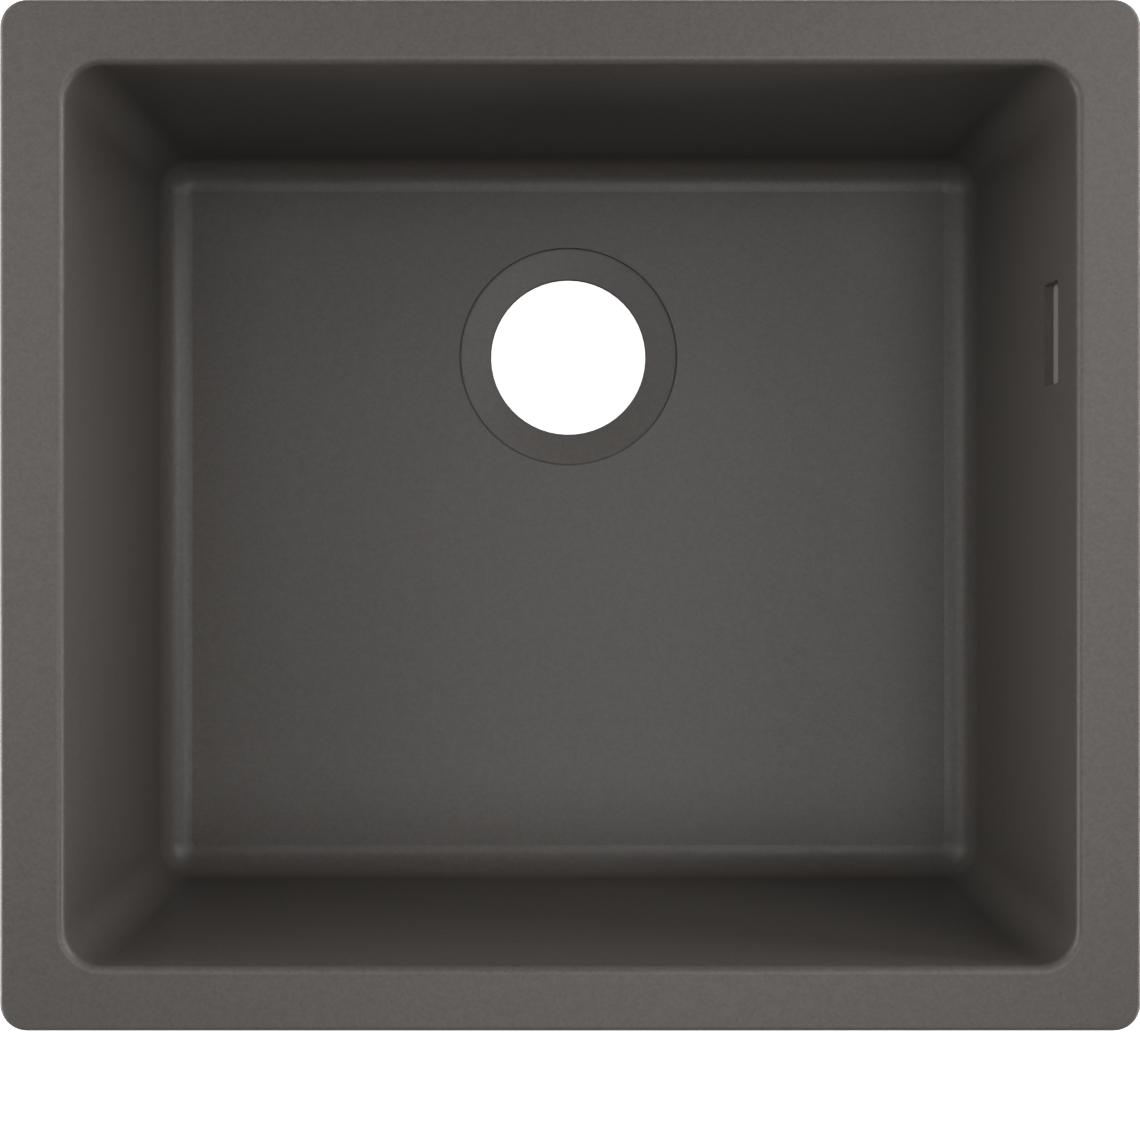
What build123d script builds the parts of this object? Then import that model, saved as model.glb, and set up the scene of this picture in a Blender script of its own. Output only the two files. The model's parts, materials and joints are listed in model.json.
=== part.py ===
"""Undermount kitchen sink with one moulded composite bowl, its clips and its overflow.

Millimetres. The origin is the centre of the bowl's opening, in the plane of the rim's
top face, which is the face that meets the underside of the worktop. +X is the right
hand, +Y is the back, where the tap stands, and +Z is up.
"""

import os
from math import cos, hypot, radians, tan

from build123d import *

os.makedirs("parts", exist_ok=True)

# Rim, the flat flange that the worktop rests on
rim_border = 25.0
rim_corner = 12.0
rim_thickness = 10.0
rim_top_round = 2.0
rim_bottom_round = 1.0

# Bowl, measured inside
bowl_length = 450.0
bowl_width = 402.0
bowl_depth = 190.0
bowl_corner = 17.0
opening_round = 3.2
floor_round = 15.0
base_round = 19.0
corner_margin = 2.0
floor_fall = 2.5
side_wall_draft = 0.4
long_wall_draft = 1.3
wall_thickness = 8.0
floor_thickness = 9.0
flange_root_round = 3.0

# Drain, a hole for a basket waste with a sunk seat around it
drain_y = 88.5
drain_hole_diameter = 85.0
drain_seat_diameter = 119.6
drain_seat_depth = 1.8
drain_seat_fall = 2.0
drain_groove_width = 1.0
drain_groove_depth = 1.3
drain_land = 2.4
drain_edge_round = 0.6
drain_flare_angle = 30.0

# Overflow slot through the right wall, and the boss and pocket behind it
overflow_y = 84.0
slot_length = 47.2
slot_height = 22.5
slot_top_depth = 28.7
slot_corner = 1.5
slot_web = 4.45
boss_rise = 4.0
boss_side_margin = 16.4
boss_end_margin = 7.5
boss_corner = 8.0
pocket_side_margin = 7.0
pocket_end_margin = 6.25
pocket_corner = 4.0

# Overflow plate and gasket
plate_thickness = 1.0
plate_gap = 0.6
weir_height = 11.25
plate_frame = 4.5
gasket_thickness = 2.0
gasket_border = 1.0

# Overflow head, a moulded housing with a spigot for a drain pipe
head_flange_thickness = 3.0
head_wall = 2.5
head_frame_wall = 2.0
head_round = 6.0
spigot_radius = 13.0
spigot_bore_radius = 10.0
spigot_chamfer = 1.5
rib_thickness = 2.0

# Slip nut and cone washer on the spigot
nut_radius = 18.0
nut_height = 18.0
nut_neck = 3.0
nut_base = 2.0
nut_edge_chamfer = 0.5
nut_wall_gap = 1.2
nut_lug_count = 8
nut_lug_radius = 2.2
thread_clearance = 0.3
washer_clearance = 0.3
washer_rim_height = 1.7
pipe_clearance = 0.3

# Clips under the rim
clip_offset = 9.0
clip_spread_x = 150.0
clip_spread_y = 140.0
clip_arm = 38.0
clip_width = 15.0
clip_thickness = 3.0
clip_edge_round = 0.5
clip_bead_width = 5.0
clip_bead_height = 0.8
clip_stud_hole_radius = 3.3
swing_gap = 0.1

# Fasteners
insert_radius = 3.75
insert_length = 7.5
insert_groove = 0.5
insert_groove_width = 1.2
insert_bond = 0.03
clip_screw_radius = 2.5
clip_screw_grip = 6.0
thread_gap = 0.05
clip_head_across_flats = 8.0
clip_head_height = 3.5
clip_head_chamfer = 0.45
screw_tip_chamfer = 0.4
flat_washer_radius = 5.0
flat_washer_thickness = 1.0
spring_washer_radius = 4.6
spring_washer_thickness = 1.2
spring_washer_gap = 0.8
overflow_insert_radius = 3.25
overflow_insert_length = 7.0
overflow_screw_radius = 2.0
overflow_screw_grip = 6.0
overflow_screw_inset = 8.5
overflow_head_radius = 3.9
overflow_head_height = 2.4
overflow_head_round = 1.2
overflow_washer_radius = 4.5
overflow_washer_thickness = 0.8
recess_width = 1.0
recess_span = 4.2
recess_depth = 1.6

# Worked out from the sizes above
rim_length = bowl_length + 2 * rim_border
rim_width = bowl_width + 2 * rim_border
wall_length = bowl_length - 2 * opening_round
wall_width = bowl_width - 2 * opening_round
outer_length = wall_length + 2 * wall_thickness
outer_width = wall_width + 2 * wall_thickness
side_wall_slope = tan(radians(side_wall_draft))
base_z = -(bowl_depth + floor_fall + floor_thickness)
drain_floor_z = -(bowl_depth + floor_fall)
drain_seat_z = drain_floor_z - drain_seat_depth
drain_hole_radius = drain_hole_diameter / 2
drain_seat_radius = drain_seat_diameter / 2
slot_z = -(slot_top_depth + slot_height / 2)
pocket_length = slot_length + 2 * pocket_side_margin
pocket_height = slot_height + 2 * pocket_end_margin
boss_length = pocket_length + 2 * boss_side_margin
boss_height = pocket_height + 2 * boss_end_margin
pocket_x = wall_length / 2 + slot_z * side_wall_slope + slot_web
boss_x = outer_length / 2 + boss_rise
boss_centre = (overflow_y, slot_z)


def export(part, name):
    """Label a finished piece and write it under the name of its node."""
    part.label = name
    export_step(part, f"parts/{name}.step")


def upright_edges(block):
    """The four corner edges of a block whose sides are drafted."""
    return block.edges().filter_by(lambda edge: abs((edge @ 1 - edge @ 0).Z) > bowl_depth / 2)


# ---------------------------------------------------------------- clip positions
clip_x = rim_length / 2 - clip_offset
clip_y = rim_width / 2 - clip_offset
# Each clip is stowed under its own side of the rim, pointing at the middle of that side
clip_places = {
    "back_left": (-clip_spread_x, clip_y, (1, 0)),
    "back_right": (clip_spread_x, clip_y, (-1, 0)),
    "front_left": (-clip_spread_x, -clip_y, (1, 0)),
    "front_right": (clip_spread_x, -clip_y, (-1, 0)),
    "left_back": (-clip_x, clip_spread_y, (0, -1)),
    "left_front": (-clip_x, -clip_spread_y, (0, 1)),
    "right_back": (clip_x, clip_spread_y, (0, -1)),
    "right_front": (clip_x, -clip_spread_y, (0, 1)),
}
clip_pivots = [(x, y) for x, y, stow in clip_places.values()]
overflow_screw_y = boss_length / 2 - overflow_screw_inset
overflow_screw_places = [(overflow_y + side * overflow_screw_y, slot_z) for side in (-1, 1)]


# ---------------------------------------------------------------- bowl
# The inside of the bowl, whose floor is a very shallow cone that falls to the drain
far_corner = hypot(wall_length / 2, wall_width / 2 + drain_y)
cone_slope = floor_fall / (far_corner - drain_seat_radius)
drain_plane = Plane(origin=(0, drain_y, 0), x_dir=(0, 1, 0), z_dir=(1, 0, 0))
cone_reach = far_corner + wall_thickness
cone_tip_z = drain_floor_z - cone_slope * drain_seat_radius
cone_rim_z = cone_tip_z + cone_slope * cone_reach

with BuildPart() as cavity:
    with BuildSketch(Plane.XY):
        Rectangle(wall_length, wall_width)
    extrude(amount=cone_tip_z - floor_thickness / 2)
    draft(cavity.faces().filter_by(Axis.X), Plane.XY, -side_wall_draft)
    draft(cavity.faces().filter_by(Axis.Y), Plane.XY, -long_wall_draft)
    with BuildSketch(drain_plane):
        with BuildLine():
            Polyline(
                (0, cone_tip_z),
                (cone_reach, cone_rim_z),
                (cone_reach, base_z),
                (0, base_z),
                close=True,
            )
        make_face()
    revolve(axis=Axis((0, drain_y, 0), (0, 0, 1)), mode=Mode.SUBTRACT)
    fillet(upright_edges(cavity), bowl_corner)
    fillet(cavity.faces().sort_by(Axis.Z)[0].edges(), min(floor_round, bowl_corner - corner_margin))

# The outside of the bowl, below its rim
rim_underside = Plane.XY.offset(-rim_thickness)
with BuildPart() as shell:
    with BuildSketch(rim_underside):
        Rectangle(outer_length, outer_width)
    extrude(amount=base_z + rim_thickness)
    draft(shell.faces().filter_by(Axis.X), rim_underside, -side_wall_draft)
    draft(shell.faces().filter_by(Axis.Y), rim_underside, -long_wall_draft)
    fillet(upright_edges(shell), bowl_corner + wall_thickness)
    fillet(shell.faces().sort_by(Axis.Z)[0].edges(), base_round)

with BuildPart() as drain_cut:
    flare_drop = drain_seat_z - drain_seat_fall - drain_land - base_z
    flare_radius = drain_hole_radius + flare_drop * tan(radians(drain_flare_angle))
    groove_inner = drain_seat_radius - drain_groove_width
    with BuildSketch(drain_plane):
        with BuildLine():
            Polyline(
                (0, drain_floor_z + floor_round),
                (drain_seat_radius, drain_floor_z + floor_round),
                (drain_seat_radius, drain_seat_z - drain_groove_depth),
                (groove_inner, drain_seat_z - drain_groove_depth),
                (groove_inner, drain_seat_z),
                (drain_hole_radius, drain_seat_z - drain_seat_fall),
                (drain_hole_radius, drain_seat_z - drain_seat_fall - drain_land),
                (flare_radius, base_z),
                (0, base_z),
                close=True,
            )
        make_face()
    revolve(axis=Axis((0, drain_y, 0), (0, 0, 1)))

with BuildPart() as bowl:
    with BuildSketch(rim_underside):
        RectangleRounded(rim_length, rim_width, rim_corner)
    extrude(amount=rim_thickness)
    fillet(bowl.faces().sort_by(Axis.Z)[-1].edges(), rim_top_round)
    fillet(bowl.faces().sort_by(Axis.Z)[0].edges(), rim_bottom_round)
    add(shell.part)
    flange_face = bowl.faces().filter_by(Plane.XY).sort_by(Axis.Z)[1]
    fillet(flange_face.inner_wires()[0].edges(), flange_root_round)
    # Boss outside the right wall, which carries the overflow head
    with BuildSketch(Plane.YZ.offset(pocket_x)):
        with Locations(boss_centre):
            RectangleRounded(boss_length, boss_height, boss_corner)
    extrude(amount=boss_x - pocket_x)
    # Hollow out the bowl, the drain and the overflow
    add(cavity.part, mode=Mode.SUBTRACT)
    fillet(bowl.faces().sort_by(Axis.Z)[-1].inner_wires()[0].edges(), opening_round)
    add(drain_cut.part, mode=Mode.SUBTRACT)
    hole_edges = bowl.edges().filter_by(GeomType.CIRCLE).sort_by(Edge.length)
    lip = [edge for edge in hole_edges if abs(edge.radius - drain_hole_radius) < drain_edge_round]
    fillet(ShapeList(lip).sort_by(Axis.Z)[-1], drain_edge_round)
    with BuildSketch(Plane.YZ.offset(pocket_x)):
        with Locations(boss_centre):
            RectangleRounded(pocket_length, pocket_height, pocket_corner)
    extrude(amount=boss_rise + wall_thickness, mode=Mode.SUBTRACT)
    with BuildSketch(Plane.YZ.offset(pocket_x)):
        with Locations(boss_centre):
            RectangleRounded(slot_length, slot_height, slot_corner)
    extrude(amount=-(slot_web + opening_round), mode=Mode.SUBTRACT)
    # Blind holes that hold the threaded inserts
    with BuildSketch(rim_underside):
        with Locations(*clip_pivots):
            Circle(insert_radius + insert_bond)
    extrude(amount=insert_length + insert_bond, mode=Mode.SUBTRACT)
    with BuildSketch(Plane.YZ.offset(boss_x)):
        with Locations(*overflow_screw_places):
            Circle(overflow_insert_radius + insert_bond)
    extrude(amount=-(overflow_insert_length + insert_bond), mode=Mode.SUBTRACT)
export(bowl.part, "bowl")


# ---------------------------------------------------------------- threaded inserts
def threaded_inserts(face_plane, places, radius, bore_radius, length):
    """Brass inserts with a locking groove, their mouths on face_plane."""
    with BuildPart() as inserts:
        with BuildSketch(face_plane):
            with Locations(*places):
                Circle(radius)
                Circle(bore_radius, mode=Mode.SUBTRACT)
        extrude(amount=length)
        with BuildSketch(face_plane.offset(length / 2)):
            with Locations(*places):
                Circle(radius)
                Circle(radius - insert_groove, mode=Mode.SUBTRACT)
        extrude(amount=insert_groove_width, mode=Mode.SUBTRACT)
    return inserts.part


rim_inserts = threaded_inserts(
    rim_underside,
    clip_pivots,
    insert_radius,
    clip_screw_radius + thread_gap,
    insert_length,
)
export(rim_inserts, "rim_inserts")

# This plane looks into the boss, so its own X runs along -Y of the sink
boss_plane = Plane(origin=(boss_x, 0, 0), x_dir=(0, -1, 0), z_dir=(-1, 0, 0))
overflow_inserts = threaded_inserts(
    boss_plane,
    [(-y, z) for y, z in overflow_screw_places],
    overflow_insert_radius,
    overflow_screw_radius + thread_gap,
    overflow_insert_length,
)
export(overflow_inserts, "overflow_inserts")


# ---------------------------------------------------------------- mounting clips
clip_top_z = -rim_thickness - swing_gap
clip_bottom_z = clip_top_z - clip_thickness
bead_start = flat_washer_radius + clip_bead_width / 2
bead_end = clip_arm - clip_stud_hole_radius - clip_bead_width


def mounting_clip(x, y, stow):
    """A pressed steel tab with its pivot hole at (x, y), pointing along stow."""
    bottom = Plane(origin=(x, y, clip_bottom_z), x_dir=(*stow, 0), z_dir=(0, 0, 1))
    with BuildPart() as clip:
        with BuildSketch(bottom):
            with Locations((clip_arm / 2, 0)):
                SlotCenterToCenter(clip_arm, clip_width)
        extrude(amount=clip_thickness)
        fillet(clip.faces().sort_by(Axis.Z)[0].edges(), clip_edge_round)
        fillet(clip.faces().sort_by(Axis.Z)[-1].edges(), clip_edge_round)
        # A pressed bead stiffens the arm: it is raised below and hollow above
        bead_centre = ((bead_start + bead_end) / 2, 0)
        bead_run = bead_end - bead_start
        with BuildSketch(bottom.offset(-clip_bead_height)):
            with Locations(bead_centre):
                SlotCenterToCenter(bead_run, clip_bead_width)
        extrude(amount=clip_bead_height)
        fillet(clip.faces().sort_by(Axis.Z)[0].edges(), clip_edge_round)
        with BuildSketch(bottom.offset(clip_thickness)):
            with Locations(bead_centre):
                SlotCenterToCenter(bead_run, clip_bead_width - 2 * clip_bead_height)
        extrude(amount=-clip_bead_height, mode=Mode.SUBTRACT)
        with BuildSketch(bottom):
            Circle(clip_screw_radius + swing_gap)
            with Locations((clip_arm, 0)):
                Circle(clip_stud_hole_radius)
        extrude(amount=clip_thickness, mode=Mode.SUBTRACT)
    return clip.part


for place, (x, y, stow) in clip_places.items():
    export(mounting_clip(x, y, stow), f"clip_{place}")

# Washers and screws stack up below the clip
washer_top_z = clip_bottom_z - swing_gap
spring_top_z = washer_top_z - flat_washer_thickness
screw_seat_z = spring_top_z - spring_washer_thickness

with BuildPart() as clip_washers:
    with BuildSketch(Plane.XY.offset(washer_top_z)):
        with Locations(*clip_pivots):
            Circle(flat_washer_radius)
            Circle(clip_screw_radius + thread_gap, mode=Mode.SUBTRACT)
    extrude(amount=-flat_washer_thickness)
export(clip_washers.part, "clip_washers")

with BuildPart() as clip_spring_washers:
    with BuildSketch(Plane.XY.offset(spring_top_z)):
        with Locations(*clip_pivots):
            Circle(spring_washer_radius)
            Circle(clip_screw_radius + thread_gap, mode=Mode.SUBTRACT)
            with Locations((spring_washer_radius / 2, 0)):
                Rectangle(spring_washer_radius, spring_washer_gap, mode=Mode.SUBTRACT)
    extrude(amount=-spring_washer_thickness)
export(clip_spring_washers.part, "clip_spring_washers")

# The screw ends inside its insert, clip_screw_grip above the insert's mouth
shank_length = -rim_thickness + clip_screw_grip - screw_seat_z
with BuildPart() as hex_screw:
    with BuildSketch(Plane.XY):
        RegularPolygon(clip_head_across_flats / 2, 6, major_radius=False)
    extrude(amount=-clip_head_height)
    with BuildSketch(Plane.XY.offset(-clip_head_height)):
        Circle(clip_head_across_flats / 2 / cos(radians(30)))
    extrude(amount=clip_head_height, mode=Mode.INTERSECT)
    chamfer(hex_screw.faces().sort_by(Axis.Z)[0].edges(), clip_head_chamfer)
    with BuildSketch(Plane.XY):
        Circle(clip_screw_radius)
    extrude(amount=shank_length)
    chamfer(hex_screw.faces().sort_by(Axis.Z)[-1].edges(), screw_tip_chamfer)

with BuildPart() as clip_screws:
    with Locations(*[(x, y, screw_seat_z) for x, y in clip_pivots]):
        add(hex_screw.part)
export(clip_screws.part, "clip_screws")


# ---------------------------------------------------------------- overflow plate and gasket
plate_length = pocket_length - 2 * plate_gap
plate_height = pocket_height - 2 * plate_gap
window_length = plate_length - 2 * plate_frame
weir_z = slot_z - slot_height / 2 + weir_height
window_top_z = slot_z + plate_height / 2 - plate_frame
window_height = window_top_z - weir_z

with BuildPart() as overflow_plate:
    with BuildSketch(Plane.YZ.offset(pocket_x)):
        with Locations(boss_centre):
            RectangleRounded(plate_length, plate_height, pocket_corner - plate_gap)
        with Locations((overflow_y, weir_z + window_height / 2)):
            RectangleRounded(window_length, window_height, slot_corner, mode=Mode.SUBTRACT)
    extrude(amount=plate_thickness)
export(overflow_plate.part, "overflow_plate")

with BuildPart() as overflow_gasket:
    with BuildSketch(Plane.YZ.offset(boss_x)):
        with Locations(boss_centre):
            RectangleRounded(
                boss_length - 2 * gasket_border,
                boss_height - 2 * gasket_border,
                boss_corner - gasket_border,
            )
            RectangleRounded(pocket_length, pocket_height, pocket_corner, mode=Mode.SUBTRACT)
        with Locations(*overflow_screw_places):
            Circle(overflow_screw_radius + thread_gap, mode=Mode.SUBTRACT)
    extrude(amount=gasket_thickness)
export(overflow_gasket.part, "overflow_gasket")


# ---------------------------------------------------------------- overflow head
head_x = boss_x + gasket_thickness
head_back_x = head_x + head_flange_thickness
spigot_x = outer_length / 2 + nut_wall_gap + nut_radius
chamber_x = spigot_x + spigot_radius
frame_x = pocket_x + plate_thickness
chamber_length = plate_length
chamber_height = plate_height
boss_bottom_z = slot_z - boss_height / 2
spigot_end_z = boss_bottom_z - nut_neck - nut_height + washer_clearance + washer_rim_height
spigot_run = slot_z - spigot_end_z

with BuildPart() as overflow_head:
    with BuildSketch(Plane.YZ.offset(head_x)):
        with Locations(boss_centre):
            RectangleRounded(
                boss_length - 2 * gasket_border,
                boss_height - 2 * gasket_border,
                boss_corner - gasket_border,
            )
    extrude(amount=head_flange_thickness)
    # Chamber, whose back rises over the spigot and is rounded like a moulding
    with BuildSketch(Plane.YZ.offset(head_x)):
        with Locations(boss_centre):
            Rectangle(chamber_length, chamber_height)
    extrude(amount=chamber_x - head_x)
    chamber_back = overflow_head.faces().sort_by(Axis.X)[-1]
    fillet(chamber_back.edges(), head_round)
    # Frame that reaches into the pocket and holds the plate against the wall
    with BuildSketch(Plane.YZ.offset(frame_x)):
        with Locations(boss_centre):
            RectangleRounded(plate_length, plate_height, pocket_corner - plate_gap)
    extrude(amount=head_x - frame_x)
    with BuildSketch(Plane.XY.offset(spigot_end_z)):
        with Locations((spigot_x, overflow_y)):
            Circle(spigot_radius)
    extrude(amount=spigot_run)
    # Hollow the frame and chamber from the front, then bore the spigot
    with BuildSketch(Plane.YZ.offset(frame_x)):
        with Locations(boss_centre):
            RectangleRounded(
                plate_length - 2 * head_frame_wall,
                plate_height - 2 * head_frame_wall,
                pocket_corner - plate_gap - head_frame_wall / 2,
            )
    extrude(amount=chamber_x - head_wall - frame_x, mode=Mode.SUBTRACT)
    with BuildSketch(Plane.XY.offset(spigot_end_z)):
        with Locations((spigot_x, overflow_y)):
            Circle(spigot_bore_radius)
    extrude(amount=spigot_run, mode=Mode.SUBTRACT)
    spigot_mouth = overflow_head.faces().sort_by(Axis.Z)[0]
    chamfer(spigot_mouth.inner_wires()[0].edges(), spigot_chamfer)
    # Ribs that brace the flange against the sides of the chamber
    with BuildSketch(Plane.XY.offset(slot_z - rib_thickness / 2)):
        for side in (-1, 1):
            root_y = overflow_y + side * (chamber_length / 2 - head_frame_wall / 2)
            tip_y = overflow_y + side * (overflow_screw_y - overflow_washer_radius - rib_thickness)
            with BuildLine():
                Polyline(
                    (head_back_x, root_y),
                    (head_back_x, tip_y),
                    (chamber_x - head_round - rib_thickness, root_y),
                    close=True,
                )
            make_face()
    extrude(amount=rib_thickness)
    with BuildSketch(Plane.YZ.offset(head_x)):
        with Locations(*overflow_screw_places):
            Circle(overflow_screw_radius + thread_gap)
    extrude(amount=head_flange_thickness, mode=Mode.SUBTRACT)
export(overflow_head.part, "overflow_head")


# ---------------------------------------------------------------- overflow screws
def facing_left(x, places):
    """Planes at x whose Z looks into the sink, one for each (y, z) place."""
    return [Plane(origin=(x, y, z), x_dir=(0, 1, 0), z_dir=(-1, 0, 0)) for y, z in places]


screw_face_x = head_back_x + overflow_washer_thickness
with BuildPart() as overflow_washers:
    with BuildSketch(Plane.YZ.offset(head_back_x)):
        with Locations(*overflow_screw_places):
            Circle(overflow_washer_radius)
            Circle(overflow_screw_radius + thread_gap, mode=Mode.SUBTRACT)
    extrude(amount=overflow_washer_thickness)
export(overflow_washers.part, "overflow_washers")

overflow_shank = screw_face_x - boss_x + overflow_screw_grip
with BuildPart() as pan_screw:
    with BuildSketch(Plane.XY):
        Circle(overflow_head_radius)
    extrude(amount=-overflow_head_height)
    fillet(pan_screw.faces().sort_by(Axis.Z)[0].edges(), overflow_head_round)
    with BuildSketch(Plane.XY.offset(-overflow_head_height)):
        Rectangle(recess_span, recess_width)
        Rectangle(recess_width, recess_span)
    extrude(amount=recess_depth, mode=Mode.SUBTRACT)
    with BuildSketch(Plane.XY):
        Circle(overflow_screw_radius)
    extrude(amount=overflow_shank)
    chamfer(pan_screw.faces().sort_by(Axis.Z)[-1].edges(), screw_tip_chamfer)

with BuildPart() as overflow_screws:
    with Locations(*facing_left(screw_face_x, overflow_screw_places)):
        add(pan_screw.part)
export(overflow_screws.part, "overflow_screws")


# ---------------------------------------------------------------- slip nut and cone washer
washer_top = spigot_end_z + spigot_chamfer / 2 - washer_clearance
washer_rim_top = spigot_end_z - washer_clearance
washer_bottom = washer_rim_top - washer_rim_height
washer_inner = spigot_bore_radius + pipe_clearance
cone_base = spigot_bore_radius + spigot_chamfer
spigot_axis = Axis((spigot_x, overflow_y, 0), (0, 0, 1))
spigot_plane = Plane(origin=(spigot_x, overflow_y, 0), x_dir=(1, 0, 0), z_dir=(0, -1, 0))

with BuildPart() as overflow_cone_washer:
    with BuildSketch(spigot_plane):
        with BuildLine():
            Polyline(
                (washer_inner, washer_bottom),
                (spigot_radius, washer_bottom),
                (spigot_radius, washer_rim_top),
                (cone_base, washer_rim_top),
                (cone_base - spigot_chamfer / 2, washer_top),
                (washer_inner, washer_top),
                close=True,
            )
        make_face()
    revolve(axis=spigot_axis)
export(overflow_cone_washer.part, "overflow_cone_washer")

nut_bottom_z = washer_bottom - nut_base
with BuildPart() as overflow_slip_nut:
    with BuildSketch(Plane.XY.offset(nut_bottom_z)):
        with Locations((spigot_x, overflow_y)):
            Circle(nut_radius - nut_lug_radius)
            with PolarLocations(nut_radius - nut_lug_radius, nut_lug_count):
                Circle(nut_lug_radius)
    extrude(amount=nut_height + nut_base)
    outer_edges = overflow_slip_nut.faces().sort_by(Axis.Z)[0].edges()
    chamfer(outer_edges, nut_edge_chamfer)
    with BuildSketch(Plane.XY.offset(washer_bottom)):
        with Locations((spigot_x, overflow_y)):
            Circle(spigot_radius + thread_clearance)
    extrude(amount=nut_height, mode=Mode.SUBTRACT)
    with BuildSketch(Plane.XY.offset(nut_bottom_z)):
        with Locations((spigot_x, overflow_y)):
            Circle(spigot_bore_radius + 2 * pipe_clearance)
    extrude(amount=nut_base, mode=Mode.SUBTRACT)
export(overflow_slip_nut.part, "overflow_slip_nut")
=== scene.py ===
"""Undermount kitchen sink: the finishes of its composite bowl, clips and overflow.

Metres, in the part's own frame: the origin is the centre of the bowl's opening, in the
plane of the rim's top face, with +X to the right hand, +Y to the back and +Z up.
"""

import json
import math

import bmesh
import bpy
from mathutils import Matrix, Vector

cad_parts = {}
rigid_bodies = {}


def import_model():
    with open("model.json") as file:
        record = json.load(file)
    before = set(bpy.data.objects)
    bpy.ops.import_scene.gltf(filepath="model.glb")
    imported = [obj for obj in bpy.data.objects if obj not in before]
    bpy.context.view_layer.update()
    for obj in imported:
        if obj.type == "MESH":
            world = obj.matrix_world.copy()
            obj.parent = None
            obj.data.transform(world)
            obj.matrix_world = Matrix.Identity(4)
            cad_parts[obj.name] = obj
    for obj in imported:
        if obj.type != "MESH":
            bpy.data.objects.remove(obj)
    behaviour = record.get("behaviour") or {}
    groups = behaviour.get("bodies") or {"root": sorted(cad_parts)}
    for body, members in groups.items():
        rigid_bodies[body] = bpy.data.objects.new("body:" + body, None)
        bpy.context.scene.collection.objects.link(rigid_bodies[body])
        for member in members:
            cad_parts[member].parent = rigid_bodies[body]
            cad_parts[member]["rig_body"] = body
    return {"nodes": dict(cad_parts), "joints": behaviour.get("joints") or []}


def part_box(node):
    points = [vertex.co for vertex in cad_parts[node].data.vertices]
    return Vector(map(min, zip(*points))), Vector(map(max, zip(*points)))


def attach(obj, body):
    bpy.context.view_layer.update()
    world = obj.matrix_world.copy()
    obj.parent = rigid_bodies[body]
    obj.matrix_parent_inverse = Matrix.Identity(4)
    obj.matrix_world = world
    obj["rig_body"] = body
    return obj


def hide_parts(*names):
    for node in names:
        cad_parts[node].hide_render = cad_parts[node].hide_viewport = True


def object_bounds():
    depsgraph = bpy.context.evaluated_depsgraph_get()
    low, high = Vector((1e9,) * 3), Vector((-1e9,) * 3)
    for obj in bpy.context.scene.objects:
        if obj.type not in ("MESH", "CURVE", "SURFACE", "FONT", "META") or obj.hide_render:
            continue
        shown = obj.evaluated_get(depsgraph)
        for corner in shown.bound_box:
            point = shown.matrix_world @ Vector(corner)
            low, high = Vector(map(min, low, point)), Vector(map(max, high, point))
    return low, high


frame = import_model()
cad_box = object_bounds()
nodes = frame["nodes"]
mm = 0.001


# ------------------------------------------------------------------ helpers
def linear(hex_colour):
    """The linear RGBA of an sRGB hex colour."""
    channels = [int(hex_colour[at:at + 2], 16) / 255 for at in (1, 3, 5)]
    return [c / 12.92 if c <= 0.04045 else ((c + 0.055) / 1.055) ** 2.4 for c in channels] + [1]


def add_node(tree, kind, inputs=None, **settings):
    """Adds one node, makes its settings, and fills its inputs with values or links."""
    node = tree.nodes.new(kind)
    for name, value in settings.items():
        setattr(node, name, value)
    for key, value in (inputs or {}).items():
        if isinstance(value, bpy.types.NodeSocket):
            tree.links.new(value, node.inputs[key])
        else:
            node.inputs[key].default_value = value
    return node


def start_material(name):
    """A new material, its tree, its shader, and the place on the piece in metres."""
    material = bpy.data.materials.new(name)
    material.use_nodes = True
    tree = material.node_tree
    place = add_node(tree, "ShaderNodeTexCoord").outputs["Object"]
    return material, tree, tree.nodes["Principled BSDF"], place


def finish_nodes(material, *names):
    """Gives solid parts of the sink their finish."""
    for name in names:
        nodes[name].data.materials.clear()
        nodes[name].data.materials.append(material)


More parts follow.
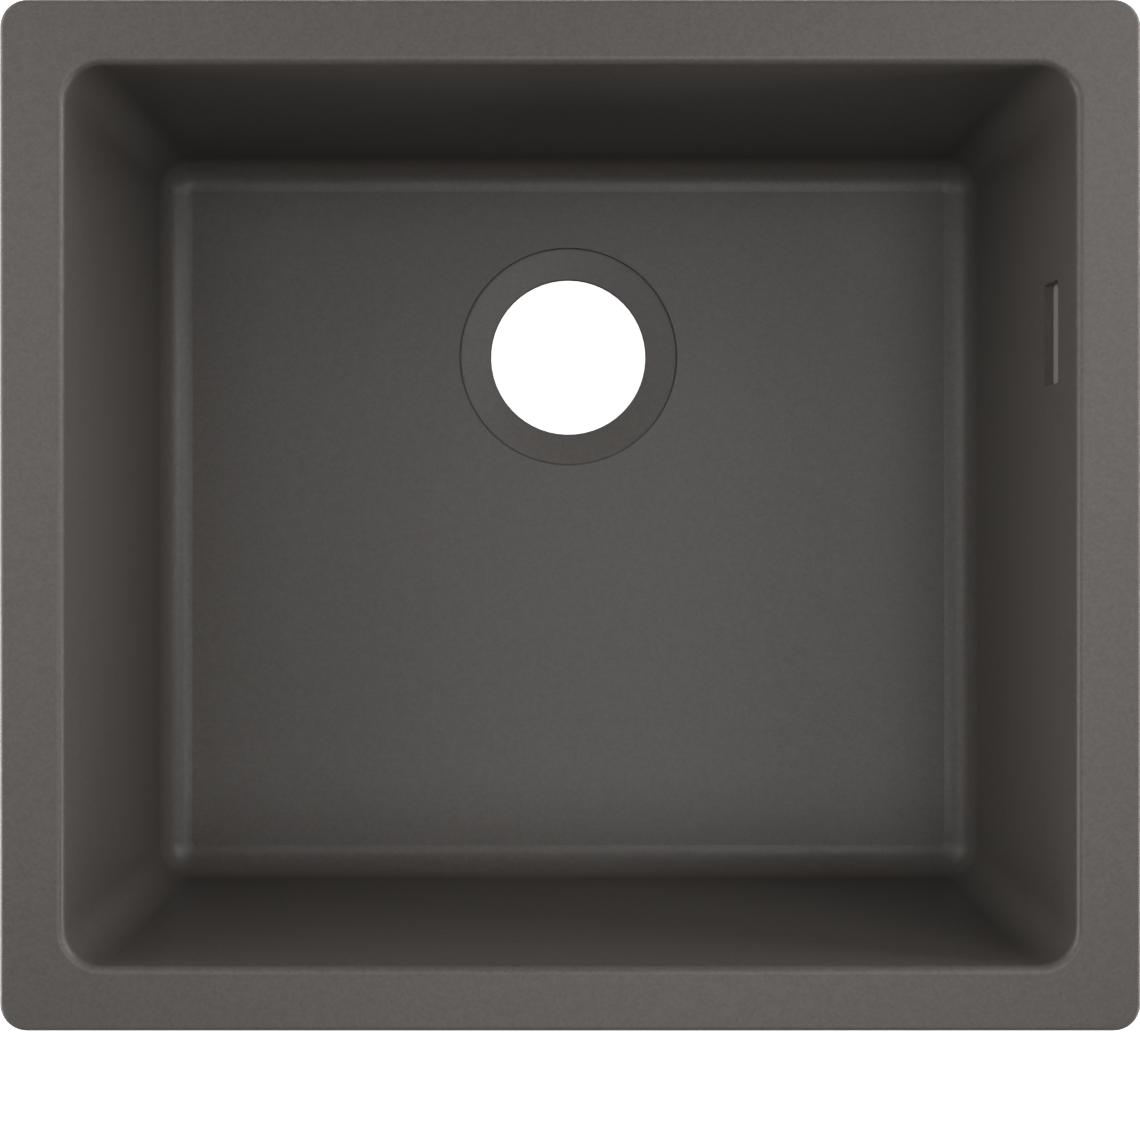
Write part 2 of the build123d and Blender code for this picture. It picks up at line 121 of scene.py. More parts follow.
# ------------------------------------------------------------------ bowl
def back_of_casting(tree, place):
    """1 on the back of the bowl, which nobody sees in use, and 0 on its face. The two meet
    inside the casting, half way through each wall, and on the rim's edge near its foot."""
    rim_border = 25.0 * mm
    half_floor = 4.2 * mm
    face_edge_depth = 9.5 * mm
    # How far the meeting line cuts inside the upright corners and the floor's round edges
    corner_cut = 12.8 * mm
    foot_cut = 13.3 * mm

    bowl_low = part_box("bowl")[0]
    axes = add_node(tree, "ShaderNodeSeparateXYZ", {"Vector": place})
    past_wall = []
    for axis, wall_middle in (("X", -bowl_low.x - rim_border), ("Y", -bowl_low.y - rim_border)):
        size = add_node(tree, "ShaderNodeMath", {0: axes.outputs[axis]}, operation="ABSOLUTE")
        past = add_node(
            tree, "ShaderNodeMath", {0: size.outputs[0], 1: wall_middle}, operation="SUBTRACT"
        )
        past_wall.append(past.outputs[0])
    past_walls = add_node(
        tree, "ShaderNodeMath", {0: past_wall[0], 1: past_wall[1]}, operation="MAXIMUM"
    )
    depth = add_node(tree, "ShaderNodeMath", {0: axes.outputs["Z"], 1: -1.0}, operation="MULTIPLY")
    past_floor = add_node(
        tree,
        "ShaderNodeMath",
        {0: depth.outputs[0], 1: -bowl_low.z - half_floor},
        operation="SUBTRACT",
    )

    past_each = [past_walls.outputs[0], past_floor.outputs[0]]
    for first, second, cut in (
        (past_wall[0], past_wall[1], corner_cut),
        (past_walls.outputs[0], past_floor.outputs[0], foot_cut),
    ):
        total = add_node(tree, "ShaderNodeMath", {0: first, 1: second}, operation="ADD")
        bevel = add_node(tree, "ShaderNodeMath", {0: total.outputs[0], 1: cut}, operation="ADD")
        past_each.append(bevel.outputs[0])
    furthest = past_each[0]
    for past in past_each[1:]:
        furthest = add_node(
            tree, "ShaderNodeMath", {0: furthest, 1: past}, operation="MAXIMUM"
        ).outputs[0]

    outside = add_node(tree, "ShaderNodeMath", {0: furthest, 1: 0.0}, operation="GREATER_THAN")
    below_edge = add_node(
        tree, "ShaderNodeMath", {0: depth.outputs[0], 1: face_edge_depth}, operation="GREATER_THAN"
    )
    return add_node(
        tree,
        "ShaderNodeMath",
        {0: outside.outputs[0], 1: below_edge.outputs[0]},
        operation="MULTIPLY",
    ).outputs[0]


def cast_composite():
    """Quartz sand in acrylic resin, cast in a mould. The sand gives the face a fine, faint
    grain with a few dark crystals under a matt skin. The back is coarser and duller."""
    grain_size = 1.15 * mm      # the sand is 0.3 mm, too fine to show, so it is drawn coarser
    cloud_size = 6.0 * mm
    cloud_share = 0.45
    sand_range = (0.1, 0.9)
    crystal_spacing = 6.5 * mm
    crystal_radius = 0.42 * mm
    crystal_core = 0.4          # the share of a crystal's radius inside its soft edge
    face_gloss = (0.38, 0.44)
    back_gloss = 0.85
    ripple_size = 0.9 * mm
    ripple_height = 0.03 * mm
    back_lump_size = 2.6 * mm
    back_lump_height = 0.16 * mm
    resin_ior = 1.6

    material, tree, shader, place = start_material("cast_quartz_composite")
    on_back = back_of_casting(tree, place)
    grain = add_node(tree, "ShaderNodeTexVoronoi", {"Vector": place, "Scale": 1 / grain_size})
    grain_tone = add_node(tree, "ShaderNodeSeparateColor", {"Color": grain.outputs["Color"]})
    cloud = add_node(
        tree,
        "ShaderNodeTexNoise",
        {"Vector": place, "Scale": 1 / cloud_size, "Detail": 3.0, "Roughness": 0.6},
    )
    ripple = add_node(
        tree,
        "ShaderNodeTexNoise",
        {"Vector": place, "Scale": 1 / ripple_size, "Detail": 2.0, "Roughness": 0.55},
    )
    faint_cloud = add_node(
        tree, "ShaderNodeMath", {0: cloud.outputs["Fac"], 1: cloud_share}, operation="MULTIPLY"
    )
    tone = add_node(
        tree,
        "ShaderNodeMath",
        {0: grain_tone.outputs["Red"], 1: ripple.outputs["Fac"], 2: faint_cloud.outputs[0]},
        operation="MULTIPLY_ADD",
    )
    sand_share = add_node(
        tree,
        "ShaderNodeMapRange",
        {"Value": tone.outputs["Value"], "From Min": sand_range[0], "From Max": sand_range[1]},
    )
    sand = add_node(
        tree,
        "ShaderNodeMix",
        {"Factor": sand_share.outputs["Result"], "A": linear("#605b57"), "B": linear("#6e6965")},
        data_type="RGBA",
    )
    crystals = add_node(
        tree,
        "ShaderNodeTexVoronoi",
        {"Vector": place, "Scale": 1 / crystal_spacing},
    )
    crystal_share = add_node(
        tree,
        "ShaderNodeMapRange",
        {
            "Value": crystals.outputs["Distance"],
            "From Min": crystal_radius / crystal_spacing,
            "From Max": crystal_core * crystal_radius / crystal_spacing,
        },
    )
    face = add_node(
        tree,
        "ShaderNodeMix",
        {
            "Factor": crystal_share.outputs["Result"],
            "A": sand.outputs["Result"],
            "B": linear("#4b4743"),
        },
        data_type="RGBA",
    )
    lumps = add_node(
        tree,
        "ShaderNodeTexNoise",
        {"Vector": place, "Scale": 1 / back_lump_size, "Detail": 4.0, "Roughness": 0.6},
    )
    back = add_node(
        tree,
        "ShaderNodeMix",
        {"Factor": lumps.outputs["Fac"], "A": linear("#57534f"), "B": linear("#78736e")},
        data_type="RGBA",
    )
    colour = add_node(
        tree,
        "ShaderNodeMix",
        {"Factor": on_back, "A": face.outputs["Result"], "B": back.outputs["Result"]},
        data_type="RGBA",
    )
    face_roughness = add_node(
        tree,
        "ShaderNodeMapRange",
        {"Value": grain_tone.outputs["Green"], "To Min": face_gloss[0], "To Max": face_gloss[1]},
    )
    roughness = add_node(
        tree,
        "ShaderNodeMix",
        {"Factor": on_back, "A": face_roughness.outputs["Result"], "B": back_gloss},
    )
    face_height = add_node(
        tree,
        "ShaderNodeMath",
        {0: ripple.outputs["Fac"], 1: ripple_height},
        operation="MULTIPLY",
    )
    back_height = add_node(
        tree,
        "ShaderNodeMath",
        {0: lumps.outputs["Fac"], 1: back_lump_height},
        operation="MULTIPLY",
    )
    height = add_node(
        tree,
        "ShaderNodeMix",
        {"Factor": on_back, "A": face_height.outputs[0], "B": back_height.outputs[0]},
    )
    bump = add_node(
        tree,
        "ShaderNodeBump",
        {"Height": height.outputs["Result"], "Distance": 1.0, "Strength": 1.0},
    )
    shader.inputs["IOR"].default_value = resin_ior
    tree.links.new(colour.outputs["Result"], shader.inputs["Base Color"])
    tree.links.new(roughness.outputs["Result"], shader.inputs["Roughness"])
    tree.links.new(bump.outputs["Normal"], shader.inputs["Normal"])
    return material


# ------------------------------------------------------------------ metal
def metal(name, dark, light, roughness, streak, streak_height, mirror_share=1.0):
    """Bare or plated metal whose tone, gloss and fine relief follow streaks of the given
    size along X, Y and Z in metres. The light that the mirror share leaves is scattered."""
    material, tree, shader, place = start_material(name)
    stretched = add_node(
        tree,
        "ShaderNodeMapping",
        {"Vector": place, "Scale": [1 / length for length in streak]},
    )
    marks = add_node(
        tree,
        "ShaderNodeTexNoise",
        {"Vector": stretched.outputs["Vector"], "Scale": 1.0, "Detail": 4.0, "Roughness": 0.6},
    )
    tone = add_node(
        tree,
        "ShaderNodeMix",
        {"Factor": marks.outputs["Fac"], "A": linear(dark), "B": linear(light)},
        data_type="RGBA",
    )
    gloss = add_node(
        tree,
        "ShaderNodeMapRange",
        {"Value": marks.outputs["Fac"], "To Min": roughness[0], "To Max": roughness[1]},
    )
    relief = add_node(
        tree,
        "ShaderNodeBump",
        {"Height": marks.outputs["Fac"], "Distance": streak_height, "Strength": 1.0},
    )
    shader.inputs["Metallic"].default_value = mirror_share
    tree.links.new(tone.outputs["Result"], shader.inputs["Base Color"])
    tree.links.new(gloss.outputs["Result"], shader.inputs["Roughness"])
    tree.links.new(relief.outputs["Normal"], shader.inputs["Normal"])
    return material


# ------------------------------------------------------------------ plastic and rubber
def moulding(name, dark, light, roughness, spark_size, spark_height, glow=0.0):
    """A moulded skin: the tool's spark-eroded surface leaves a fine even texture, and the
    resin clouds a little. Glow is the share of light that soaks into a milky resin."""
    glow_depth = 1.5 * mm
    cloud_size = 14.0 * mm
    material, tree, shader, place = start_material(name)
    cloud = add_node(
        tree,
        "ShaderNodeTexNoise",
        {"Vector": place, "Scale": 1 / cloud_size, "Detail": 3.0},
    )
    sparks = add_node(
        tree,
        "ShaderNodeTexNoise",
        {"Vector": place, "Scale": 1 / spark_size, "Detail": 2.0},
    )
    tone = add_node(
        tree,
        "ShaderNodeMix",
        {"Factor": cloud.outputs["Fac"], "A": linear(dark), "B": linear(light)},
        data_type="RGBA",
    )
    gloss = add_node(
        tree,
        "ShaderNodeMapRange",
        {"Value": sparks.outputs["Fac"], "To Min": roughness[0], "To Max": roughness[1]},
    )
    relief = add_node(
        tree,
        "ShaderNodeBump",
        {"Height": sparks.outputs["Fac"], "Distance": spark_height, "Strength": 1.0},
    )
    shader.inputs["Subsurface Weight"].default_value = glow
    shader.inputs["Subsurface Scale"].default_value = glow_depth
    tree.links.new(tone.outputs["Result"], shader.inputs["Base Color"])
    tree.links.new(gloss.outputs["Result"], shader.inputs["Roughness"])
    tree.links.new(relief.outputs["Normal"], shader.inputs["Normal"])
    return material


# Bright zinc plating over pressed or cold-headed steel: bluish white, slightly cloudy
zinc_on_pressed_steel = metal(
    "zinc_plated_pressed_steel", "#a2a6ab", "#c3c6ca", (0.26, 0.5), (3 * mm,) * 3, 0.03 * mm
)
zinc_on_headed_steel = metal(
    "zinc_plated_cold_headed_steel",
    "#9b9fa4",
    "#c9cbce",
    (0.2, 0.42),
    (1.2 * mm,) * 3,
    0.015 * mm,
)
# Pickled and bead-blasted sheet: a soft grey so matt that it scatters light as paint does
blasted_stainless = metal(
    "bead_blasted_stainless",
    "#a9a7a4",
    "#bdbbb8",
    (0.6, 0.75),
    (0.5 * mm, 2 * mm, 0.5 * mm),
    0.02 * mm,
    0.35,
)
# Bar brass, turned and left bare: dull yellow with fine rings round each insert
turned_brass = metal(
    "turned_brass", "#8f7440", "#c2a562", (0.3, 0.5), (6 * mm, 6 * mm, 0.35 * mm), 0.02 * mm
)
# Polypropylene mouldings: waxy, with a low gloss
head_polypropylene = moulding(
    "moulded_polypropylene", "#a3a3a0", "#b4b4b1", (0.38, 0.56), 0.45 * mm, 0.02 * mm, 0.08
)
nut_polypropylene = moulding(
    "moulded_polypropylene_nut", "#7d7e7d", "#8b8c8b", (0.34, 0.5), 0.5 * mm, 0.025 * mm, 0.05
)
# Soft polyethylene, milky enough for light to soak in
washer_polyethylene = moulding(
    "soft_polyethylene", "#cfcec6", "#dedcd4", (0.34, 0.46), 0.6 * mm, 0.01 * mm, 0.35
)
# Moulded black rubber with a faint grey bloom
black_rubber = moulding(
    "moulded_black_rubber", "#161617", "#242425", (0.55, 0.78), 0.7 * mm, 0.04 * mm
)

clips = [name for name in nodes if name.startswith("clip_") and nodes[name]["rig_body"] == name]
finish_nodes(cast_composite(), "bowl")
finish_nodes(zinc_on_pressed_steel, *clips)
finish_nodes(turned_brass, "rim_inserts", "overflow_inserts")
finish_nodes(blasted_stainless, "overflow_plate")
finish_nodes(black_rubber, "overflow_gasket")
finish_nodes(head_polypropylene, "overflow_head")
finish_nodes(zinc_on_headed_steel, "overflow_screws", "overflow_washers")
finish_nodes(nut_polypropylene, "overflow_slip_nut")
finish_nodes(washer_polyethylene, "overflow_cone_washer")


# ------------------------------------------------------------------ clip screws and washers
def start_tree(name, sizes):
    """A geometry tree whose inputs are the places of a piece and its named sizes."""
    tree = bpy.data.node_groups.new(name, "GeometryNodeTree")
    tree.interface.new_socket("Places", in_out="INPUT", socket_type="NodeSocketGeometry")
    for size in sizes:
        tree.interface.new_socket(size, in_out="INPUT", socket_type="NodeSocketFloat")
    tree.interface.new_socket("Geometry", in_out="OUTPUT", socket_type="NodeSocketGeometry")
    return tree, add_node(tree, "NodeGroupInput").outputs


def end_tree(tree, places, piece, material):
    """Stands a copy of the piece on every place and gives them all their finish."""
    copies = add_node(tree, "GeometryNodeInstanceOnPoints", {"Points": places, "Instance": piece})
    real = add_node(
        tree, "GeometryNodeRealizeInstances", {"Geometry": copies.outputs["Instances"]}
    )
    finished = add_node(
        tree,
        "GeometryNodeSetMaterial",
        {"Geometry": real.outputs["Geometry"], "Material": material},
    )
    add_node(tree, "NodeGroupOutput", {"Geometry": finished.outputs["Geometry"]})


def make_piece(name, tree, places, sizes):
    """Runs a tree on its places and keeps what it makes as a plain mesh on the sink."""
    sharp_from = math.radians(35)
    points = bpy.data.meshes.new(name)
    points.from_pydata(places, [], [])
    piece = bpy.data.objects.new(name, points)
    bpy.context.scene.collection.objects.link(piece)
    growth = piece.modifiers.new(name, "NODES")
    growth.node_group = tree
    for socket in tree.interface.items_tree:
        if socket.in_out == "INPUT" and socket.name in sizes:
            growth[socket.identifier] = sizes[socket.name]
    grown = piece.evaluated_get(bpy.context.evaluated_depsgraph_get())
    piece.data = bpy.data.meshes.new_from_object(grown)
    piece.modifiers.remove(growth)
    finish = next(material for material in piece.data.materials if material)
    piece.data.materials.clear()
    piece.data.materials.append(finish)
    piece.data.shade_smooth()
    piece.data.set_sharp_from_angle(angle=sharp_from)
    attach(piece, "sink")
    return piece


def thread_ridge(tree, radius, pitch, depth, length, steps):
    """A right-hand ridge that winds up a screw from z = 0, its crest at the radius."""
    foot_share = 0.8
    crest_share = 0.25
    turns = add_node(tree, "ShaderNodeMath", {0: length, 1: pitch}, operation="DIVIDE")
    root = add_node(tree, "ShaderNodeMath", {0: radius, 1: depth}, operation="SUBTRACT")
    path = add_node(
        tree,
        "GeometryNodeCurveSpiral",
        {
            "Resolution": steps,
            "Rotations": turns.outputs[0],
            "Start Radius": root.outputs[0],
            "End Radius": root.outputs[0],
            "Height": length,
            "Reverse": True,
        },
    )
    foot = add_node(tree, "ShaderNodeMath", {0: pitch, 1: foot_share}, operation="MULTIPLY")
    crest = add_node(tree, "ShaderNodeMath", {0: pitch, 1: crest_share}, operation="MULTIPLY")
    full_depth = add_node(tree, "ShaderNodeMath", {0: depth, 1: 2.0}, operation="MULTIPLY")
    section = add_node(
        tree,
        "GeometryNodeCurvePrimitiveQuadrilateral",
        {
            "Height": full_depth.outputs[0],
            "Bottom Width": foot.outputs[0],
            "Top Width": crest.outputs[0],
            "Offset": 0.0,
        },
        mode="TRAPEZOID",
    )
    # The section's narrow side is turned outwards
    outward = add_node(
        tree,
        "GeometryNodeTransform",
        {"Geometry": section.outputs["Curve"], "Rotation": (0.0, 0.0, math.radians(-90))},
    )
    upright = add_node(
        tree, "GeometryNodeSetCurveNormal", {"Curve": path.outputs["Curve"]}, mode="Z_UP"
    )
    ridge = add_node(
        tree,
        "GeometryNodeCurveToMesh",
        {
            "Curve": upright.outputs["Curve"],
            "Profile Curve": outward.outputs["Geometry"],
            "Fill Caps": True,
        },
    )
    return ridge.outputs["Mesh"]


def hex_screw_tree():
    """A cold-headed hexagon screw whose head hangs below z = 0, with a rolled thread."""
    sizes = (
        "Across Flats",
        "Head Height",
        "Corner Bevel",
        "Shank Radius",
        "Shank Length",
        "Thread Pitch",
        "Thread Depth",
    )
    corners_over_flats = 1 / math.cos(math.radians(30))
    bevel_slope = math.sqrt(3)
    bevel_steps = 48
    shank_steps = 32
    thread_steps = 20
    tree, size = start_tree("hex_screw", sizes)
    head_height = size["Head Height"]
    corner_radius = add_node(
        tree,
        "ShaderNodeMath",
        {0: size["Across Flats"], 1: corners_over_flats / 2},
        operation="MULTIPLY",
    )
    hexagon = add_node(
        tree,
        "GeometryNodeMeshCylinder",
        {"Vertices": 6, "Radius": corner_radius.outputs[0], "Depth": head_height},
    )
    # A cone turns the six corners of the head's top into arcs
    flat_radius = add_node(
        tree, "ShaderNodeMath", {0: size["Across Flats"], 1: 0.5}, operation="MULTIPLY"
    )
    cone_foot = add_node(
        tree,
        "ShaderNodeMath",
        {0: flat_radius.outputs[0], 1: size["Corner Bevel"]},
        operation="SUBTRACT",
    )
    cone_spread = add_node(
        tree,
        "ShaderNodeMath",
        {0: head_height, 1: bevel_slope, 2: cone_foot.outputs[0]},
        operation="MULTIPLY_ADD",
    )
    cone = add_node(
        tree,
        "GeometryNodeMeshCone",
        {
            "Vertices": bevel_steps,
            "Radius Top": cone_spread.outputs[0],
            "Radius Bottom": cone_foot.outputs[0],
            "Depth": head_height,
        },
    )
    core_radius = add_node(
        tree,
        "ShaderNodeMath",
        {0: size["Shank Radius"], 1: size["Thread Depth"]},
        operation="SUBTRACT",
    )
    core = add_node(
        tree,
        "GeometryNodeMeshCylinder",
        {
            "Vertices": shank_steps,
            "Radius": core_radius.outputs[0],
            "Depth": size["Shank Length"],
        },
    )
    lowered = []
    for solid, length, share in (
        (hexagon, head_height, -0.5),
        (cone, head_height, -1.0),
        (core, size["Shank Length"], 0.5),
    ):
        drop = add_node(tree, "ShaderNodeMath", {0: length, 1: share}, operation="MULTIPLY")
        spot = add_node(tree, "ShaderNodeCombineXYZ", {"Z": drop.outputs[0]})
        lowered.append(
            add_node(
                tree,
                "GeometryNodeTransform",
                {"Geometry": solid.outputs["Mesh"], "Translation": spot.outputs[0]},
            ).outputs["Geometry"]
        )
    head = add_node(
        tree,
        "GeometryNodeMeshBoolean",
        {"Mesh 2": lowered[0]},
        operation="INTERSECT",
        solver="EXACT",
    )
    tree.links.new(lowered[1], head.inputs["Mesh 2"])
    # The thread stops one pitch short of the tip
    thread_length = add_node(
        tree,
        "ShaderNodeMath",
        {0: size["Shank Length"], 1: size["Thread Pitch"]},
        operation="SUBTRACT",
    )
    ridge = thread_ridge(
        tree,
        size["Shank Radius"],
        size["Thread Pitch"],
        size["Thread Depth"],
        thread_length.outputs[0],
        thread_steps,
    )
    screw = add_node(tree, "GeometryNodeJoinGeometry", {"Geometry": ridge})
    for solid in (lowered[2], head.outputs["Mesh"]):
        tree.links.new(solid, screw.inputs["Geometry"])
    end_tree(tree, size["Places"], screw.outputs["Geometry"], zinc_on_headed_steel)
    return tree


def washer_tree(name, closed):
    """A stamped washer round z = 0, either closed or a split and slightly sprung ring."""
    ring_steps = 48
    corner_steps = 2
    tree, size = start_tree(
        name, ("Outer Radius", "Inner Radius", "Thickness", "Corner", "Gap Angle", "Spring")
    )
    radii = add_node(
        tree,
        "ShaderNodeMath",
        {0: size["Outer Radius"], 1: size["Inner Radius"]},
        operation="ADD",
    )
    middle = add_node(tree, "ShaderNodeMath", {0: radii.outputs[0], 1: 0.5}, operation="MULTIPLY")
    width = add_node(
        tree,
        "ShaderNodeMath",
        {0: size["Outer Radius"], 1: size["Inner Radius"]},
        operation="SUBTRACT",
    )
    if closed:
        ring = add_node(
            tree,
            "GeometryNodeCurvePrimitiveCircle",
            {"Resolution": ring_steps, "Radius": middle.outputs[0]},
        ).outputs["Curve"]
        thickness = size["Thickness"]
    else:
        half_gap = add_node(
            tree, "ShaderNodeMath", {0: size["Gap Angle"], 1: 0.5}, operation="MULTIPLY"
        )
        sweep = add_node(
            tree,
            "ShaderNodeMath",
            {0: math.tau, 1: size["Gap Angle"]},
            operation="SUBTRACT",
        )
        arc = add_node(
            tree,
            "GeometryNodeCurveArc",
            {
                "Resolution": ring_steps,
                "Radius": middle.outputs[0],
                "Start Angle": half_gap.outputs[0],
                "Sweep Angle": sweep.outputs[0],
            },
        )
        along = add_node(tree, "GeometryNodeSplineParameter")
        centred = add_node(
            tree, "ShaderNodeMath", {0: along.outputs["Factor"], 1: 0.5}, operation="SUBTRACT"
        )
        rise = add_node(
            tree, "ShaderNodeMath", {0: centred.outputs[0], 1: size["Spring"]}, operation="MULTIPLY"
        )
        lift = add_node(tree, "ShaderNodeCombineXYZ", {"Z": rise.outputs[0]})
        ring = add_node(
            tree,
            "GeometryNodeSetPosition",
            {"Geometry": arc.outputs["Curve"], "Offset": lift.outputs[0]},
        ).outputs["Geometry"]
        thickness = add_node(
            tree,
            "ShaderNodeMath",
            {0: size["Thickness"], 1: size["Spring"]},
            operation="SUBTRACT",
        ).outputs[0]
    section = add_node(
        tree,
        "GeometryNodeCurvePrimitiveQuadrilateral",
        {"Width": width.outputs[0], "Height": thickness},
        mode="RECTANGLE",
    )
    rounded = add_node(
        tree,
        "GeometryNodeFilletCurve",
        {
            "Curve": section.outputs["Curve"],
            "Count": corner_steps,
            "Radius": size["Corner"],
            "Limit Radius": True,
        },
        mode="POLY",
    )
    upright = add_node(tree, "GeometryNodeSetCurveNormal", {"Curve": ring}, mode="Z_UP")
    washer = add_node(
        tree,
        "GeometryNodeCurveToMesh",
        {
            "Curve": upright.outputs["Curve"],
            "Profile Curve": rounded.outputs["Curve"],
            "Fill Caps": True,
        },
    )
    end_tree(tree, size["Places"], washer.outputs["Mesh"], zinc_on_headed_steel)
    return tree


def spigot_thread_tree():
    """The moulded thread that winds round the overflow head's spigot."""
    thread_steps = 64
    tree, size = start_tree("spigot_thread", ("Radius", "Pitch", "Depth", "Length"))
    ridge = thread_ridge(
        tree, size["Radius"], size["Pitch"], size["Depth"], size["Length"], thread_steps
    )
    end_tree(tree, size["Places"], ridge, head_polypropylene)
    return tree


# Every clip turns on a screw, and the frame's hinges say where
pivots = [joint["pos_m"][:2] for joint in frame["joints"] if joint["child"] in clips]
screw_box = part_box("clip_screws")
spring_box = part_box("clip_spring_washers")
washer_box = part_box("clip_washers")
screw_seat_z = spring_box[0].z
clip_screws = make_piece(
    "clip_hex_screws",
    hex_screw_tree(),
    [(x, y, screw_seat_z) for x, y in pivots],
    {
        "Across Flats": 8.0 * mm,
        "Head Height": screw_seat_z - screw_box[0].z,
        "Corner Bevel": 0.35 * mm,
        "Shank Radius": 2.5 * mm,
        "Shank Length": screw_box[1].z - screw_seat_z,
        "Thread Pitch": 0.8 * mm,
        "Thread Depth": 0.35 * mm,
    },
)
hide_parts("clip_screws")
stamped = {"Inner Radius": 2.55 * mm, "Corner": 0.14 * mm}
clip_washers = make_piece(
    "clip_flat_washers",
    washer_tree("flat_washer", closed=True),
    [(x, y, (washer_box[0].z + washer_box[1].z) / 2) for x, y in pivots],
    {**stamped, "Outer Radius": 5.0 * mm, "Thickness": washer_box[1].z - washer_box[0].z},
)
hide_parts("clip_washers")
clip_spring_washers = make_piece(
    "clip_lock_washers",
    washer_tree("lock_washer", closed=False),
    [(x, y, (spring_box[0].z + spring_box[1].z) / 2) for x, y in pivots],
    {
        **stamped,
        "Outer Radius": 4.6 * mm,
        "Thickness": spring_box[1].z - spring_box[0].z,
        "Gap Angle": math.radians(13),
        "Spring": 0.25 * mm,
    },
)
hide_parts("clip_spring_washers")

# The slip nut runs on this thread, which starts above the spigot's plain end
plain_end = 2.4 * mm
nut_hinge = next(joint for joint in frame["joints"] if joint["child"] == "slip_nut")
spigot_x, spigot_y = nut_hinge["pos_m"][:2]
spigot_end_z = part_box("overflow_head")[0].z
make_piece(
    "spigot_thread",
    spigot_thread_tree(),
    [(spigot_x, spigot_y, spigot_end_z + plain_end)],
    {"Radius": 13.22 * mm, "Pitch": 3.0 * mm, "Depth": 0.5 * mm, "Length": 12.0 * mm},
)


# ------------------------------------------------------------------ studio
def turned_sweep(foot_z):
    """A round table whose rim sweeps up into a wall, turned from one profile."""
    table_radius = 2.6
    sweep_radius = 0.9
    wall_height = 2.6
    sweep_steps = 12
    round_steps = 96
    profile = [(0.0, foot_z), (table_radius, foot_z)]
    for step in range(1, sweep_steps + 1):
        turn = math.radians(90) * step / sweep_steps
        out = table_radius + sweep_radius * math.sin(turn)
        up = foot_z + sweep_radius * (1 - math.cos(turn))
        profile.append((out, up))
    profile.append((table_radius + sweep_radius, foot_z + wall_height))
    turned = bmesh.new()
    corners = [turned.verts.new((radius, 0, z)) for radius, z in profile]
    edges = [turned.edges.new(pair) for pair in zip(corners, corners[1:])]
    bmesh.ops.spin(
        turned,
        geom=corners + edges,
        axis=(0, 0, 1),
        cent=(0, 0, 0),
        angle=math.tau,
        steps=round_steps,
        use_merge=True,
    )
    bmesh.ops.remove_doubles(turned, verts=turned.verts, dist=1 * mm)
    mesh = bpy.data.meshes.new("studio_table")
    turned.to_mesh(mesh)
    turned.free()
    mesh.shade_smooth()
    return mesh


def soft_box(name, middle, azimuth, rise, distance, width, height, watts):
    """Hangs one soft box that aims at the middle given."""
    lamp = bpy.data.lights.new(f"soft_box_{name}", "AREA")
    lamp.shape = "RECTANGLE"
    lamp.size = width
    lamp.size_y = height
    lamp.energy = watts
    turn, tilt = math.radians(azimuth), math.radians(rise)
    towards = Vector(
        (math.cos(tilt) * math.sin(turn), -math.cos(tilt) * math.cos(turn), math.sin(tilt))
    )
    box = bpy.data.objects.new(f"soft_box_{name}", lamp)
    box.location = middle + towards * distance
    box.rotation_euler = (-towards).to_track_quat("-Z", "Y").to_euler()
    box.visible_camera = False
    bpy.context.scene.collection.objects.link(box)


# The table glows a pure white, as a product photograph's does. The sink is lit by the soft
# boxes alone, so the table is kept out of its shading and its reflections
table_gap = 0.5 * mm            # keeps the table's face clear of the casting's flat foot
table_z = cad_box[0][2] - table_gap
table = bpy.data.objects.new("studio_table", turned_sweep(table_z))
bpy.context.scene.collection.objects.link(table)
white_table, _, shader, _ = start_material("white_lit_table")
shader.inputs["Base Color"].default_value = linear("#f2f2f0")
shader.inputs["Roughness"].default_value = 0.8
shader.inputs["Emission Color"].default_value = linear("#ffffff")
shader.inputs["Emission Strength"].default_value = 1.0
table.data.materials.append(white_table)
table.visible_diffuse = False
table.visible_glossy = False

# The room beyond the table is dark
room = bpy.data.worlds.new("dark_room")
room.use_nodes = True
room.node_tree.nodes["Background"].inputs["Strength"].default_value = 0.0
bpy.context.scene.world = room

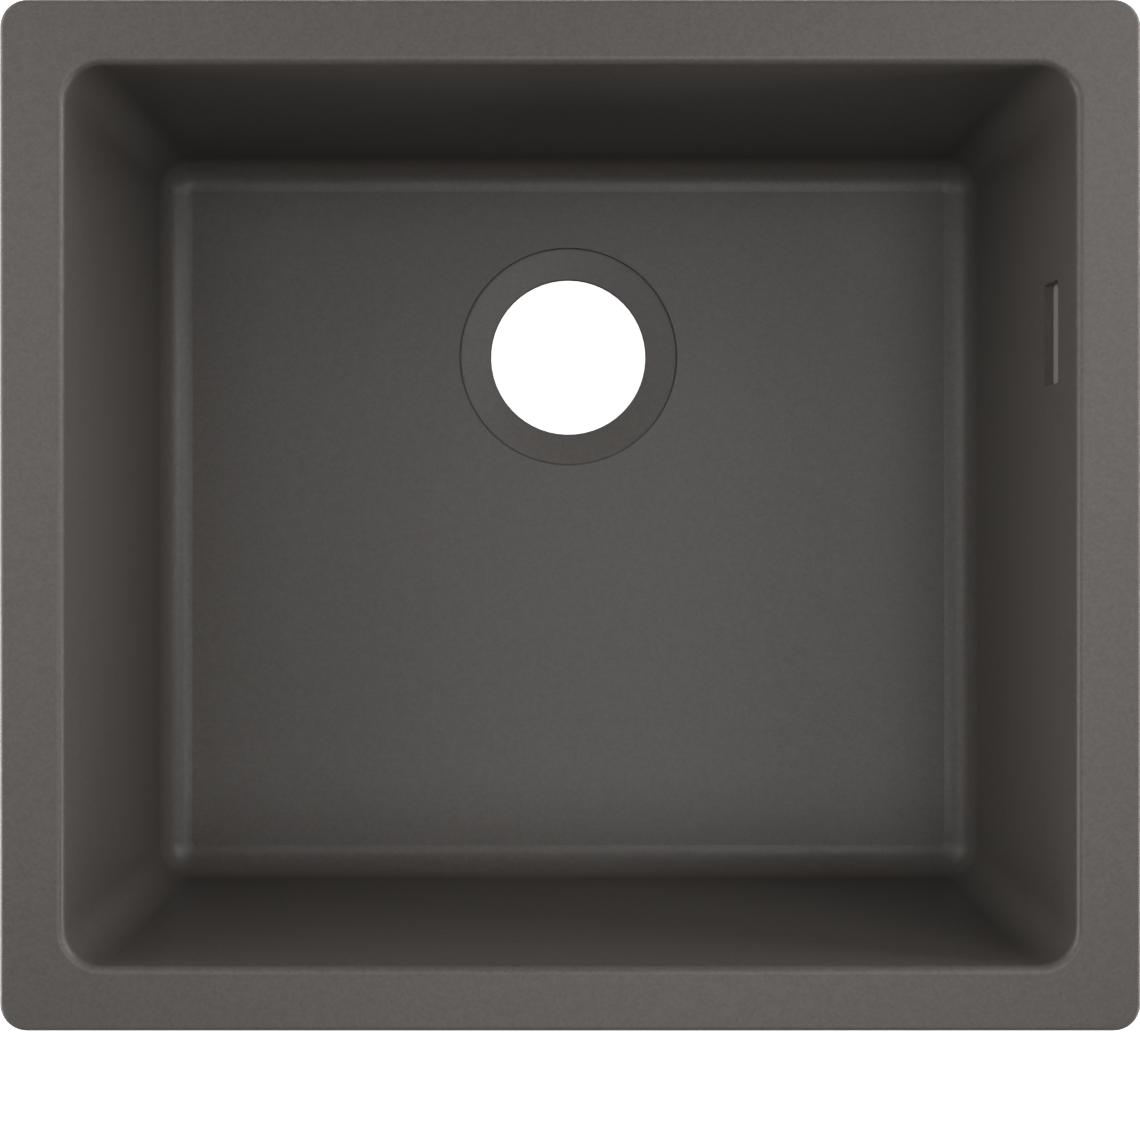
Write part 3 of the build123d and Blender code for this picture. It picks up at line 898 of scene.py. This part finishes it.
# Soft boxes that aim at the bowl: azimuth from the front towards the right hand and height
# in degrees, distance, width and height in metres, power in watts
soft_boxes = {
    "right_front_low": (68, 8, 1.6, 0.8, 0.5, 6.3),
    "right_back_low": (120, 8, 1.6, 0.8, 0.5, 8.5),
    "right_middle": (95, 20, 1.6, 1.4, 0.4, 2.3),
    "right_high": (112, 42, 1.6, 1.2, 0.7, 6.4),
    "left_back_low": (238, 8, 1.6, 1.2, 0.5, 3.7),
    "left_front_low": (284, 8, 1.6, 0.8, 0.5, 8.0),
    "left_middle": (258, 26, 1.6, 1.4, 0.4, 3.3),
    "left_high": (255, 46, 1.6, 1.6, 0.7, 3.8),
    "over_right_front": (55, 71, 1.9, 0.6, 0.5, 1.6),
    "over_right_back": (125, 71, 1.9, 0.6, 0.5, 1.9),
    "over_left": (255, 70, 1.9, 0.9, 0.5, 1.8),
    "over_front": (0, 73, 1.9, 0.6, 0.4, 1.8),
    "overhead": (90, 84, 1.9, 0.6, 0.4, 1.8),
}
bowl_middle = Vector((0, 0, -50 * mm))
for name, place_and_size in soft_boxes.items():
    soft_box(name, bowl_middle, *place_and_size)
# Four strips stand lower than the rim, so they light only the outside of the bowl
wall_middle = Vector((0, 0, table_z / 2))
strip_size = {"distance": 1.6, "width": 2.2, "height": 0.6 * -table_z}
strips = {"front": (0, 4.5), "right": (90, 9.0), "back": (180, 6.0), "left": (270, 14.0)}
for side, (azimuth, watts) in strips.items():
    soft_box(f"strip_{side}", wall_middle, azimuth, rise=0, watts=watts, **strip_size)

# The photograph looks straight down from 760 mm above the rim. Its frame is cut close to the
# rim, off the lens's axis, which the two shifts follow
camera_data = bpy.data.cameras.new("camera")
camera_data.sensor_width = 36.0
camera_data.lens = 54.86
camera_data.shift_x = 0.00861
camera_data.shift_y = -0.03548
camera = bpy.data.objects.new("camera", camera_data)
camera.location = (-4.45 * mm, -6.27 * mm, 760 * mm)
bpy.context.scene.collection.objects.link(camera)
bpy.context.scene.camera = camera
bpy.context.scene.view_settings.view_transform = "Standard"
